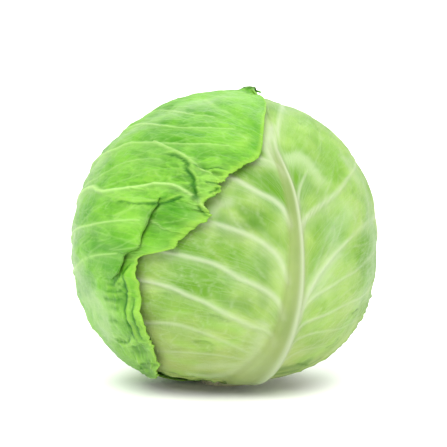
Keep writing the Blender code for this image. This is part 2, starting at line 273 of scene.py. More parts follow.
# The side veins: forks part from each on its left (1) or its right (-1), at least that far out, and rungs
# join it to the next. A pale halo lies above and a wider one below it, and darker panels fill the rest.
PATH_POINTS = 24
FORKS = ((1, 0.25), (-1, 0.4), (1, 0.6))
SHORTEST_FORKED = 18
RUNG_FIRST = 0.12
RUNG_LAST = 0.95
RUNG_SPACING = 0.085
VEIN_NEAR = 11
HALO_ABOVE = 1.8
HALO_BELOW = 5.0
HALO_STRENGTH = 0.36
SHADE_ABOVE = 1.5
SHADE_BELOW = 0.6
STEP_SHADE = 0.45
SWELL_WIDTH = 7.0
PANEL_FROM = 3.0
PANEL_WIDTH = 8.0
PANEL_FADE = 0.5
CLEAR_PANEL = 0.85
CLEAR_GROUND = 0.55
NO_FRILL = [(10, 0.0), (175, 0.0)]
PLAIN_MARGIN = [(10, 80), (12.4, 69), (16.5, 62), (25, 64), (34, 69), (45, 74), (60, 78),
                (90, 81), (120, 88), (150, 94), (175, 96)]
LONG_MARGIN = [(10, 80), (12.4, 69), (16.5, 64), (25, 70), (34, 75), (45, 78), (60, 79),
               (90, 81), (120, 88), (150, 94), (175, 96)]
PLAIN_VEINS = [(-38, 56), (-26, 66), (-10, 88), (6, 104), (24, 124), (42, 142)]
PLAIN_RIB = [(-79, 1.6), (-55, 2.0), (-30, 1.2), (20, 0.7), (96, 0.2)]


def smooth_through(knots, at):
    """A smooth curve through (position, value) knots, read at the positions given."""
    where, value = np.array(knots, float).T
    slope = np.gradient(value, where)
    at = np.clip(at, where[0], where[-1])
    piece = np.clip(np.searchsorted(where, at) - 1, 0, len(where) - 2)
    width = where[piece + 1] - where[piece]
    s = (at - where[piece]) / width
    return (
        value[piece] * (1 + 2 * s) * (1 - s) ** 2
        + slope[piece] * width * s * (1 - s) ** 2
        + value[piece + 1] * s**2 * (3 - 2 * s)
        + slope[piece + 1] * width * s**2 * (s - 1)
    )


def ramp(value):
    """0 below 0, 1 above 1, and a smooth rise between."""
    value = np.clip(value, 0, 1)
    return value**2 * (3 - 2 * value)


def bell(distance):
    """1 at no distance, falling smoothly to nearly nothing two units away."""
    return np.exp(-(distance**2))


def on_head(azimuth, across, along, lift):
    """The points, in metres, that lie across and along a leaf of that azimuth, lifted off the inner head."""
    turned = math.radians(azimuth)
    outward = np.array([math.cos(turned), math.sin(turned), 0.0])
    rightward = np.array([-math.sin(turned), math.cos(turned), 0.0])
    reach = np.maximum(np.hypot(across, along), 1e-9)
    swing = np.radians(reach)
    direction = (
        np.cos(swing)[..., None] * outward
        + (np.sin(swing) * across / reach)[..., None] * rightward
        + (np.sin(swing) * along / reach)[..., None] * np.array([0.0, 0.0, 1.0])
    )
    radius = head_radius(direction) + lift
    return MM * (direction * radius[..., None] + np.array([0.0, 0.0, HEAD_CENTRE_HEIGHT]))


def wander(seed, *coordinates):
    """Smooth random values, about -1 to 1, one a point, that change over about 1 of each coordinate."""
    flat = [np.ravel(c) for c in coordinates]
    if len(flat) == 1:
        flat.append(np.zeros_like(flat[0]))
    layer = seed * WANDER_SEED_STEP
    values = [noise.noise(Vector((x, y, layer))) for x, y in zip(flat[0].tolist(), flat[1].tolist())]
    return np.array(values).reshape(np.shape(coordinates[0])) * WANDER_STRENGTH


def ridged(values):
    """Wandering values turned into thin ridges, which stand where the values cross nothing."""
    return 1 - np.clip(np.abs(values) * RIDGE_SHARPNESS, 0, 1)


# A leaf's values, besides its margins, veins and rib line:
#   azimuth, lift: which way it faces, and how far its underside stands off the inner head
#   bow: how its rows bend between rib and margin;  rib_end: where its rib fades out
#   waves, frills: how far each margin stands off and how ragged it is, by angle
#   bulge: how far its panels swell;  lines, crumple: how strongly it is ridged along its rows and puckered
#   drawn_veins: side veins by their paths, with width, height and paleness at the start and at the end
#   steps: small folds by their paths, with height, spread, and how dark the painted shade in the crease
#     beside each is
#   dark, bright, pale, bloom: patches along paths, with half width in millimetres and strength; dark
#     ones are painted shade and bright ones painted highlight
#   crumples: (across, along, size, strength) of spots more puckered than the rest
#   fold, curl: a pleat beside the right margin, and a tip that turns up, dried in places
#   clear_right: how far its right half lacks darker panels;  faint_tip: how far small veins fade to the tip
#   edge_from, crowding, finest_rows: where the margin's colour starts, the power that crowds columns
#   towards the margin, and the rows between which the sheet is twice as fine
def leaf_rows(leaf):
    """The rows of a leaf from petiole to tip: where each leaves the rib and, for the right and the left
    side, the angle where it ends and whether it follows a vein or its flank (1) or lies between (0)."""
    veins = leaf["veins"]
    beside_stalk = head_radius(np.array([0.2, 0.0, -0.98])) + leaf["lift"]
    foot = -90 + math.degrees(math.asin((STALK_RADIUS + PETIOLE_GAP) / beside_stalk))
    base_starts = [foot, *(start for start, _ in PETIOLE_ROWS)]
    base_angles = [PETIOLE_FOOT_ANGLE, *(angle for _, angle in PETIOLE_ROWS)]
    vein_starts = [veins[0][0] - ROW_BEFORE_VEINS]
    for number, (start, _) in enumerate(veins):
        following = veins[number + 1][0] if number + 1 < len(veins) else start + ROW_AFTER_VEINS
        vein_starts += [start, (start + following) / 2]
    tip_starts = np.linspace(vein_starts[-1], leaf["right_margin"][-1][1], TIP_ROW_COUNT + 1)[1:]
    starts = np.array([*base_starts, *vein_starts, *tip_starts])
    sides = []
    for side in (0, 1):
        angles = np.full(len(starts), np.nan)
        angles[: len(base_angles)] = base_angles
        angles[-1] = TIP_ROW_ANGLE
        for number in range(side, len(veins), 2):
            row = len(base_angles) + 2 * number + 1
            angles[row - 1 : row + 2] = veins[number][1] + SIDE_VEIN_HUG * np.array([-1, 0, 1])
        known = ~np.isnan(angles)
        rows = np.arange(len(starts))
        sides.append((np.interp(rows, rows[known], angles[known]), known.astype(float)))
    return starts, sides


def row_place(leaf, side, starts, angles, share, extra_reach=0.0):
    """Where a row of a leaf runs: across and along, at each share of the way from its rib to its margin."""
    sign = 1 if side == "right" else -1
    rib_edge = smooth_through(leaf["rib_line"], starts) + sign * smooth_through(RIB_HALF_WIDTH, starts)
    reach = smooth_through(leaf[side + "_margin"], angles) + extra_reach
    end_across = sign * reach * np.sin(np.radians(angles))
    end_along = -reach * np.cos(np.radians(angles))
    bow = leaf["bow"] * ramp((starts - BOW_FROM) / BOW_FADE)
    middle_across = (rib_edge + end_across) / 2 - sign * bow * (end_along - starts)
    middle_along = (starts + end_along) / 2 + sign * bow * (end_across - rib_edge)
    early, middle, late = (1 - share) ** 2, 2 * share * (1 - share), share**2
    sweep = VEIN_SWEEP * ramp((starts - SWEEP_FROM) / SWEEP_FADE) * ramp((SWEEP_TO - starts) / SWEEP_FADE)
    rise = sweep * (1 - share) * (1 - np.exp(-share / VEIN_SWEEP_REACH))
    return (
        early * rib_edge + middle * middle_across + late * end_across,
        early * starts + middle * middle_along + late * end_along + rise,
    )


def nearest_on(across, along, path):
    """For each point its distance in millimetres from a path, which side of it (1 is left of its way), and
    how far along the path the nearest spot lies, from 0 to 1."""
    best = np.full(across.shape, 1e9)
    hand = np.ones(across.shape)
    share = np.zeros(across.shape)
    last = len(path) - 1
    for k in range(last):
        (x, y), (u, v) = path[k], path[k + 1]
        u, v = u - x, v - y
        part = np.clip(((across - x) * u + (along - y) * v) / (u * u + v * v), 0, 1)
        gap = np.hypot(across - x - part * u, along - y - part * v)
        closer = gap < best
        best = np.where(closer, gap, best)
        hand = np.where(closer, np.sign(u * (along - y) - v * (across - x)), hand)
        share = np.where(closer, (k + part) / last, share)
    return best * MILLIMETRES_A_DEGREE, hand, share


def smooth_path(points):
    """A smooth path through a few (across, along) points."""
    at = np.linspace(0, len(points) - 1, PATH_POINTS)
    knots = range(len(points))
    return np.stack([smooth_through(list(zip(knots, [p[k] for p in points])), at) for k in (0, 1)], 1)


def leaf_veins(leaf):
    """The side veins of a leaf, each as its path from the rib outwards and, for its start and its end, its
    width, height and paleness: the main ones, then the forks that part from them and the rungs between."""
    draw = np.random.default_rng(leaf["seed"])
    shares = np.linspace(0, 1, PATH_POINTS)
    drawn = leaf.get("drawn_veins", {})
    mains = [(smooth_path(points), *shape) for veins in drawn.values() for points, *shape in veins]
    rungs = []
    for number, (start, angle) in enumerate(leaf["veins"]):
        side = ("right", "left")[number % 2]
        if side not in drawn:
            sag = 0.8 * np.sin(shares * draw.uniform(4, 7) + draw.uniform(0, 6)) * shares
            starts = np.full(PATH_POINTS, float(start))
            path = np.stack(row_place(leaf, side, starts, angle + sag, shares * 0.99), 1)
            height = leaf["vein_height"] * draw.uniform(0.75, 1.0)
            mains.append((path, (1.5, 0.7), (height, 0.4 * height), (0.9, 0.5)))
        if number + 2 >= len(leaf["veins"]):
            continue
        next_start, next_angle = leaf["veins"][number + 2]
        for rung in np.arange(RUNG_FIRST, RUNG_LAST, RUNG_SPACING):
            bend = 0.05 * np.sin(shares * math.pi) * draw.uniform(0.2, 1)
            begin, finish = draw.uniform(0.0, 0.35), draw.uniform(0.65, 1.0)
            climb = begin + (finish - begin) * shares
            path = row_place(
                leaf, side, start + (next_start - start) * climb, angle + (next_angle - angle) * climb,
                rung + draw.uniform(-0.025, 0.025) + bend + 0.02 * np.sin(climb * 9 + rung * 40),
            )
            height = 0.2 * leaf["vein_height"]
            rungs.append((np.stack(path, 1), (0.6, 0.45), (height, 0.5 * height), (0.26, 0.18)))
    forks = []
    for path, widths, heights, palenesses in mains:
        length = np.hypot(*(path[-1] - path[0]))
        if length < SHORTEST_FORKED:
            continue
        tangent = np.gradient(path, axis=0)
        normal = np.stack([-tangent[:, 1], tangent[:, 0]], 1) / np.hypot(*tangent.T)[:, None]
        for hand, earliest in FORKS:
            begin = earliest + draw.uniform(0, 0.15)
            at = begin + (1 - begin) * shares
            parting = hand * draw.uniform(0.22, 0.34) * length * (at - begin) ** 0.85
            stem = np.stack([np.interp(at, shares, path[:, k]) for k in (0, 1)], 1)
            way = np.stack([np.interp(at, shares, normal[:, k]) for k in (0, 1)], 1)
            height, paleness = 0.4 * heights[0], 0.3 * palenesses[0]
            forks.append((stem + way * parting[:, None], (0.8, 0.45), (height, 0.1), (paleness, 0.1)))
    return mains, forks + rungs


def side_sheet(leaf, side, starts, angles, beside, count):
    """One side of a leaf's fine sheet, from the rib's edge to the margin: where its points lie, how far they
    stand off, how much painted shade lies in their creases, how far from the rib and round the leaf, and
    what is margin."""
    column = np.linspace(0, 1, count + 1)[None, :] ** leaf.get("crowding", 0.85) + 0 * starts[:, None]
    angles = angles[:, None] + 0 * column
    puffed = smooth_through(leaf[side + "_wave"], angles) * (1 - beside[:, None])
    share = column.copy()
    lift = puffed * ramp((column - 0.7) / 0.3)
    crease_shade = np.zeros_like(column)
    fold = leaf.get("fold") if side == "right" else None
    if fold:
        amount = ramp((angles - fold["from_angle"]) / fold["fade"])
        amount = amount * ramp((fold["to_angle"] - angles) / fold["fade"])
        inner_end = smooth_through(fold["share"], angles) + fold["lap"]
        first, last = fold["columns"]
        nose = np.clip((column - first) / (last - first), 0, 1)
        turned = inner_end - fold["lap"] * (1 - np.cos(math.pi * nose))
        bent = np.where(column < first, column / first * inner_end, turned)
        outer_start = inner_end - 2 * fold["lap"]
        bent = np.where(column > last, 1 - (1 - column) / (1 - last) * (1 - outer_start), bent)
        share = column + amount * (bent - column)
        lift = lift + amount * fold["step"] * ramp((column - 0.35) / 0.3) * (1 + np.cos(math.pi * nose)) / 2
        # Painted shade in the pleat, where the sheet turns under
        in_fold = ramp((column - (first + last) / 2) / 0.012) * ramp((last + 0.03 - column) / 0.03)
        crease_shade = amount * in_fold
    frill = smooth_through(leaf.get(side + "_frill", NO_FRILL), angles)
    teeth = frill * (0.6 * wander(11, angles / 3.1) + 0.6 * wander(12, angles / 1.1))
    reach = (0.6 * puffed + teeth) * ramp((column - 0.8) / 0.2)
    across, along = row_place(leaf, side, starts[:, None], angles, share, reach)
    flutter = 0.45 + 0.6 * wander(13, angles / 2.2, column * 4)
    flutter = flutter + 0.5 * np.abs(wander(14, angles / 0.9, column * 6))
    lift = lift + 1.5 * frill * flutter * ramp((column - 0.88) / 0.12)
    # Painted shade where the frilled margin pinches together
    pinched = ramp((frill - 0.8) / 0.6) * ramp((0.15 - flutter) / 0.35) * ramp((column - 0.9) / 0.08)
    crease_shade = np.maximum(crease_shade, 0.8 * pinched)
    edge = ramp((column - leaf.get("edge_from", 0.972)) / 0.02)
    return across, along, lift, crease_shade, share * ROW_LENGTH, angles, edge


def leaf_grid(leaf, rows_per_step, side_columns, rib_columns):
    """The whole fine sheet of a leaf, left margin first, with the same values at each point as its sides."""
    coarse_starts, coarse_sides = leaf_rows(leaf)
    coarse = np.arange(len(coarse_starts))
    first, last = leaf.get("finest_rows", (0, 0))
    counts = np.where((coarse[:-1] >= first) & (coarse[:-1] < last), 2 * rows_per_step, rows_per_step)
    fine = np.array([k + n / count for k, count in enumerate(counts) for n in range(count)] + [coarse[-1]])
    starts = np.interp(fine, coarse, coarse_starts)
    right, left = (
        side_sheet(leaf, side, starts, *(np.interp(fine, coarse, k) for k in (angles, beside)), count)
        for side, (angles, beside), count in zip(("right", "left"), coarse_sides, side_columns)
    )
    rib_middle = smooth_through(leaf["rib_line"], starts)[:, None]
    rib_width = smooth_through(RIB_HALF_WIDTH, starts)[:, None]
    inside = np.linspace(-1, 1, 2 * rib_columns + 1)[None, 1:-1]
    nothing = 0 * starts[:, None] * inside
    rib = (
        rib_middle + rib_width * inside, starts[:, None] + nothing, nothing, nothing,
        -rib_width * (1 - np.abs(inside)) * MILLIMETRES_A_DEGREE, nothing, nothing,
    )
    return (np.hstack([left[k][:, ::-1], rib[k], right[k]]) for k in range(7))


def leaf_sheet(name, leaf, rows_per_step=5, side_columns=(90, 90), rib_columns=7):
    """A leaf's outer face: a fine grid laid on the head, with its rib, veins, folds and waved margin, and
    masks of where they lie, for its material, among them painted shade in creases and hollows and painted
    highlights on crowns, lips and the rib's crest."""
    grid = leaf_grid(leaf, rows_per_step, side_columns, rib_columns)
    across, along, lift, crease_shade, row_u, row_v, edge = grid
    dry = np.zeros_like(across)
    if "curl" in leaf:
        curl = leaf["curl"]
        near = bell((across - curl["across"]) / curl["half_width"])
        near = near * ramp((along - curl["from_along"]) / (curl["to_along"] - curl["from_along"]))
        lift = lift + near * (curl["lift"] + 1.2 * wander(15, across / 3.2, along / 3.2))
        # Painted shade in the tip's wrinkles, and brown where it dried
        wrinkled = ramp(0.3 + 2.5 * wander(16, across / 2.2, along / 1.6))
        crease_shade = np.maximum(crease_shade, 0.9 * ramp(near * 1.5) * wrinkled)
        dry = ramp(near * 1.6 - 0.4) * ramp(0.5 + 3.0 * wander(18, across / 2.0, along / 1.8))
    rib_width = smooth_through(RIB_HALF_WIDTH, along)
    beyond_rib = (across - smooth_through(leaf["rib_line"], along)) / rib_width
    rib_fade = ramp((leaf.get("rib_end", 100) - along) / RIB_FADE) * (np.abs(across) < 40)
    rib_shape = smooth_through(RIB_PROFILE, beyond_rib) * rib_fade
    relief = smooth_through(leaf["rib_height"], along) * rib_shape
    vein = np.zeros_like(across)
    clear = np.abs(beyond_rib) * rib_width * MILLIMETRES_A_DEGREE
    mains, lesser = leaf_veins(leaf)
    # Each vein is laid down near its path only. "clear" is how far a point lies from any rib or main vein.
    for number, (path, widths, heights, palenesses) in enumerate([*mains, *lesser]):
        near = (
            (across > path[:, 0].min() - VEIN_NEAR) & (across < path[:, 0].max() + VEIN_NEAR)
            & (along > path[:, 1].min() - VEIN_NEAR) & (along < path[:, 1].max() + VEIN_NEAR)
        )
        gap, hand, share = nearest_on(across[near], along[near], path)
        width, height, paleness = (a + (b - a) * share for a, b in (widths, heights, palenesses))
        band = bell(gap / width)
        if number >= len(mains):
            band = band * (1 - leaf.get("faint_tip", 0) * ramp((along[near] - 20) / 20))
        relief[near] = np.maximum(relief[near], height * band)
        vein[near] = np.maximum(vein[near], paleness * band)
        if number < len(mains):
            below = hand * np.sign(path[-1][0] - path[0][0]) < 0
            halo = bell(gap / np.where(below, HALO_BELOW, HALO_ABOVE))
            vein[near] = np.maximum(vein[near], HALO_STRENGTH * paleness * halo)
            clear[near] = np.minimum(clear[near], gap * np.where(below, SHADE_BELOW, SHADE_ABOVE))
    relief = relief + leaf["bulge"] * (1 - bell(clear / SWELL_WIDTH)) * (1 - np.clip(rib_shape, 0, 1))
    lip_highlight = np.zeros_like(across)
    shade = np.zeros_like(across)
    # A step rises on the left of its path's way. A crease of painted shade lies at its foot, with a wider
    # painted shadow below it, and its lip gets a painted highlight.
    for points, height, spread, darkness in leaf.get("steps", ()):
        gap, hand, share = nearest_on(across, along, smooth_path(points))
        along_it = ramp(share / 0.2) * ramp((1 - share) / 0.2)
        signed = gap * hand
        fall = np.exp(-np.maximum(signed, 0) / spread)
        relief = relief + height * along_it * ramp((signed + 0.6) / 1.4) * fall
        uneven = max(1.0, height) * (0.5 + 0.9 * np.abs(wander(26, share * 12.0, 0 * share + height * 9)))
        crease_shade = np.maximum(crease_shade, darkness * along_it * bell((signed + 0.5 * uneven) / (0.85 * uneven)))
        lip_highlight = np.maximum(lip_highlight, along_it * darkness * bell((signed - 1.5) / 1.1))
        under = bell(np.minimum(signed + 0.6, 0) / 3.0) * (signed < 0.4)
        shade = np.maximum(shade, along_it * darkness * under)
    # Puckers: fine ridges along the rows, and larger irregular ones, with painted shade in their hollows and
    # painted highlights on their crowns
    on_blade = (row_u > 0) * ramp(row_u / 22.0)
    crumple = leaf["crumple"] + 0 * across
    for place_across, place_along, size, strength in leaf.get("crumples", ()):
        crumple = crumple + strength * bell(np.hypot(across - place_across, along - place_along) / size)
    lines = ridged(wander(21, row_v / 2.6 + 0.25 * wander(24, row_v / 9, row_u / 22), row_u / 30))
    puckers = 0.6 * ridged(wander(22, across / 7.5, along / 4.5))
    puckers = puckers + 0.4 * ridged(wander(23, across / 3.4, along / 2.6))
    swell = wander(25, across / 9.0, along / 6.0)
    rough = on_blade * (leaf["lines"] * lines + crumple * (1.1 * puckers + 0.7 * swell))
    relief = relief + rough
    hollow_shade = np.clip(on_blade * crumple * (0.55 - 1.1 * puckers - 0.5 * swell) + STEP_SHADE * shade, 0, 1)
    crown_highlight = on_blade * (leaf["lines"] * lines + 0.8 * crumple * puckers * ramp(0.3 + swell))
    # The right margin's frill and the steps' lips add painted highlight, which the painted crease shade dims
    frill = smooth_through(leaf.get("right_frill", NO_FRILL), row_v)
    frill = frill * (across > 0) * ramp((row_u - 106) / 12)
    crown_highlight = np.clip(np.maximum(crown_highlight, np.maximum(lip_highlight, 0.5 * frill)) * (1 - 0.6 * crease_shade), 0, 1)
    beside_rib = 1 - PANEL_FADE * ramp((np.abs(beyond_rib) * rib_width * MILLIMETRES_A_DEGREE - 20) / 35)
    panel = ramp((clear - PANEL_FROM) / PANEL_WIDTH) * beside_rib * (1 - 0.7 * ramp((along - 30) / 25))
    right_half = leaf.get("clear_right", 0) * ramp((across - 8) / 12)
    panel = panel * (1 - CLEAR_PANEL * right_half)
    bloom = np.zeros_like(across)
    # Paths of painted shade (dark), painted highlight (bright), paler veins and tissue (pale) and wax bloom
    # (bloom)
    for key, mask in (("dark", hollow_shade), ("bright", crown_highlight), ("pale", vein), ("bloom", bloom)):
        for points, width, strength in leaf.get(key, ()):
            gap, _, _ = nearest_on(across, along, smooth_path(points))
            ragged = 1 + 0.35 * wander(27, across / 4.0, along / 2.5)
            np.maximum(mask, strength * bell(gap / (width * ragged)), out=mask)
    bloom = bloom * (1 - np.clip(crease_shade, 0, 1)) * (1 - 0.7 * hollow_shade)
    placed = on_head(leaf["azimuth"], across, along, leaf["lift"] + OUTER_FACE_LIFT + lift + relief)

    rows, columns = across.shape
    sheet = bmesh.new()
    bmesh.ops.create_grid(sheet, x_segments=columns - 1, y_segments=rows - 1, size=1.0, calc_uvs=True)
    mesh = mesh_of(name, sheet)
    mesh.vertices.foreach_set("co", placed.astype(np.float32).ravel())
    masks = {
        "vein": vein, "rib": np.clip(rib_shape, 0, 1), "crease_shade": np.clip(crease_shade, 0, 1), "edge": edge,
        "pale_crest_and_highlight": bell((beyond_rib - CREST_PLACE) / CREST_WIDTH) * rib_fade,
        "groove_shade": bell((beyond_rib - GROOVE_SHADE_PLACE) / GROOVE_SHADE_WIDTH) * rib_fade,
        "ground": ramp((-10 - along) / 45) * (1 - CLEAR_GROUND * right_half), "panel": panel,
        "hollow_shade": hollow_shade, "crown_highlight": crown_highlight, "bloom": bloom, "dry": dry,
        "row_u": row_u * MM, "row_v": row_v * MM,
    }
    for key, values in masks.items():
        layer = mesh.attributes.new(key, "FLOAT", "POINT")
        layer.data.foreach_set("value", values.astype(np.float32).ravel())
    mesh.update()
    return mesh


def leaf_tissue(name, colours, layers, network, lines):
    """The skin of a leaf: green tissue, lighter and darker in patches, under layers of a colour, a mask and
    a strength. Its finest veins, too fine for the mesh, are a net about 5 mm wide and drawn-out lines, both
    a little coarser than life so that they show."""
    material, tree, shader = new_tissue(name)
    place = add_node(tree, "ShaderNodeTexCoord")
    masks = {
        key: add_node(tree, "ShaderNodeAttribute", {"attribute_name": key})
        for key in ("vein", "rib", "crease_shade", "edge", "pale_crest_and_highlight", "groove_shade", "ground", "panel", "hollow_shade", "crown_highlight",
                    "bloom", "dry", "row_u", "row_v")
    }
    broad, patchy, dusting, grain = (
        add_node(
            tree, "ShaderNodeTexNoise", (), {"Scale": scale, "Detail": detail}, {"Vector": (place, "Object")}
        )
        for scale, detail in ((30.0, 2.0), (110.0, 5.0), (40.0, 3.0), (900.0, 2.0))
    )
    blend = add_node(
        tree, "ShaderNodeMath", {"operation": "MULTIPLY_ADD"}, {1: 0.4},
        {0: (patchy, "Fac"), 2: (broad, "Fac")},
    )
    on_rows = add_node(
        tree, "ShaderNodeCombineXYZ", links={"X": (masks["row_u"], "Fac"), "Y": (masks["row_v"], "Fac")}
    )
    stretched, drawn_out = (
        add_node(tree, "ShaderNodeMapping", inputs={"Scale": scale}, links={"Vector": (on_rows, "Vector")})
        for scale in ((1.0, 1.6, 1.0), (40.0, 430.0, 1.0))
    )
    net = add_node(
        tree, "ShaderNodeTexVoronoi", {"feature": "DISTANCE_TO_EDGE"}, {"Scale": 210.0},
        {"Vector": (stretched, "Vector")},
    )
    wave = add_node(
        tree, "ShaderNodeTexNoise", (), {"Scale": 1.0, "Detail": 1.5, "Distortion": 0.4},
        {"Vector": (drawn_out, "Vector")},
    )
    off_middle = add_node(tree, "ShaderNodeMath", {"operation": "SUBTRACT"}, {1: 0.5}, {0: (wave, "Fac")})
    away = add_node(tree, "ShaderNodeMath", {"operation": "ABSOLUTE"}, (), {0: (off_middle, 0)})
    spread = {}
    for key, source, output, low, high, first, final in (
        ("light", blend, 0, 0.58, 0.82, 0.0, 1.0), ("net", net, "Distance", 0.0, 0.09, 1.0, 0.0),
        ("line", away, 0, 0.0, 0.06, 1.0, 0.0), ("dust", dusting, "Fac", 0.45, 0.75, 0.0, 1.0),
        ("gloss", patchy, "Fac", 0.3, 0.7, 0.42, 0.6),
    ):
        spread[key] = add_node(
            tree, "ShaderNodeMapRange", (),
            {"From Min": low, "From Max": high, "To Min": first, "To Max": final},
            {"Value": (source, output)},
        )
    skin = None
    for colour, mask, strength in (("light", "light", 1.0), *layers):
        source, output = (spread[mask], "Result") if mask in spread else (masks[mask], "Fac")
        amount = add_node(
            tree, "ShaderNodeMath", {"operation": "MULTIPLY", "use_clamp": True}, {1: strength},
            {0: (source, output)},
        )
        under = {"A": (skin, "Result")} if skin else {}
        skin = add_node(
            tree, "ShaderNodeMix", {"data_type": "RGBA"},
            {"A": linear(colours["dark"]), "B": linear(colours[colour])}, {"Factor": (amount, 0), **under},
        )
    tree.links.new(skin.outputs["Result"], shader.inputs["Base Color"])
    tree.links.new(spread["gloss"].outputs["Result"], shader.inputs["Roughness"])
    height = (spread["net"], "Result")
    for amount, raised in ((0.3, (grain, "Fac")), (lines, (spread["line"], "Result"))):
        sum_so_far = add_node(
            tree, "ShaderNodeMath", {"operation": "MULTIPLY_ADD"}, {1: amount}, {0: raised, 2: height}
        )
        height = (sum_so_far, 0)
    relief = add_node(
        tree, "ShaderNodeBump", (), {"Strength": network, "Distance": 0.0003}, {"Height": height}
    )
    tree.links.new(relief.outputs["Normal"], shader.inputs["Normal"])
    shader.inputs["IOR"].default_value = 1.36
    shader.inputs["Specular IOR Level"].default_value = 0.28
    shader.inputs["Subsurface Weight"].default_value = 0.12
    shader.inputs["Subsurface Radius"].default_value = (0.5, 1.0, 0.25)
    shader.inputs["Subsurface Scale"].default_value = 0.003
    return material


def keep_leaf(name, leaf, material, slot, node, **detail):
    """Makes a leaf's piece from its sheet, with the blade's thickness on the side of the head."""
    piece = keep_piece(name, leaf_sheet(name, leaf, **detail), material, slot, node)
    thickness = piece.modifiers.new("thickness", "SOLIDIFY")
    thickness.thickness = SHEET_THICKNESS * MM
    thickness.offset = -1.0
    return piece


# Leaf that grew in shade: a flat yellow-green with soft pale veins and hardly any wax. Its fold colour is
# painted shade in its creases, and its rib's crest gets a painted highlight
inner_tissue = leaf_tissue(
    "inner_wrapper_leaf",
    {"dark": "#77964B", "light": "#91A96A", "ground": "#928F4D", "vein": "#ADBB96", "rib": "#A0AA7E",
     "fold": "#506923"},
    [("ground", "ground", 0.8), ("vein", "net", 0.2), ("vein", "vein", 0.8), ("rib", "rib", 0.8),
     ("vein", "pale_crest_and_highlight", 0.5), ("fold", "crease_shade", 0.8)],
    network=0.3, lines=0.5,
)
for name, node, azimuth, lift, seed, right_margin in (
    ("right_inner_blade", "right_inner_leaf", -12.5, 1.3, 31, PLAIN_MARGIN),
    ("left_inner_blade", "left_inner_leaf", -150.0, 3.4, 32, LONG_MARGIN),
):
    inner_leaf = {
        "azimuth": azimuth, "lift": lift, "vein_height": 0.3, "bow": 0.08,
        "right_wave": [(10, 0.2), (175, 0.2)], "left_wave": [(10, 0.2), (175, 0.2)],
        "right_margin": right_margin, "left_margin": PLAIN_MARGIN, "veins": PLAIN_VEINS,
        "rib_height": PLAIN_RIB, "rib_line": [(-79, 0), (96, 0)], "seed": seed,
        "bulge": 0.1, "lines": 0.0, "crumple": 0.05,
    }
    keep_leaf(name, inner_leaf, inner_tissue, "inner_leaf", node, side_columns=(70, 70), rows_per_step=6)


# The back leaf: an outer leaf round the back right of the head. Its margins lie under the front leaf and
# the left leaf, and a little of it shows at the lower right as a darker green edge.
STRONG_RIB = [(-79, 2.4), (-66, 3.2), (-54, 4.4), (-44, 4.2), (-36, 3.4), (-10, 2.2), (12, 1.6), (40, 1.2),
              (80, 0.8), (105, 0.2)]
back_leaf = {
    "azimuth": 55.0, "lift": 5.4, "vein_height": 1.0, "bow": 0.10,
    "right_wave": [(10, 0.5), (175, 0.5)], "left_wave": [(10, 0.5), (175, 0.5)],
    "right_margin": [(10, 80), (12.4, 69), (16.5, 62), (25, 65), (34, 71), (45, 77), (60, 80),
                     (90, 84), (120, 92), (150, 95), (175, 96)],
    "left_margin": [(10, 80), (12.4, 69), (16.5, 62), (25, 64), (34, 69), (45, 75), (60, 79),
                    (90, 85), (120, 91), (150, 94), (175, 96)],
    "veins": [(-42, 54), (-37, 60), (-30, 70), (-23, 78), (-14, 88), (-5, 97),
              (5, 108), (14, 118), (25, 130), (36, 140), (48, 150), (58, 157)],
    "rib_height": STRONG_RIB, "rib_line": [(-79, 0), (-40, 2), (0, 1), (40, -2), (100, 0)],
    "seed": 41, "bulge": 0.25, "lines": 0.1, "crumple": 0.12,
}
# Leaf that grew in the light: the deepest green, dulled by a thin bloom of wax. Its fold colour is painted
# shade in its hollows and creases, and its rib's crest gets a painted highlight
green_tissue = leaf_tissue(
    "outer_cabbage_leaf",
    {"dark": "#4D8123", "light": "#77A44B", "ground": "#7B9144", "vein": "#A0B985", "rib": "#92A567",
     "fold": "#194D0A", "wax": "#92B391"},
    [("dark", "panel", 0.4), ("ground", "ground", 0.5), ("vein", "net", 0.2), ("vein", "line", 0.1),
     ("vein", "vein", 0.85), ("rib", "rib", 0.85), ("vein", "pale_crest_and_highlight", 0.7), ("wax", "dust", 0.2),
     ("fold", "hollow_shade", 0.4), ("fold", "crease_shade", 0.85)],
    network=0.35, lines=0.8,
)
keep_leaf("back_blade", back_leaf, green_tissue, "green_leaf", "back_leaf")


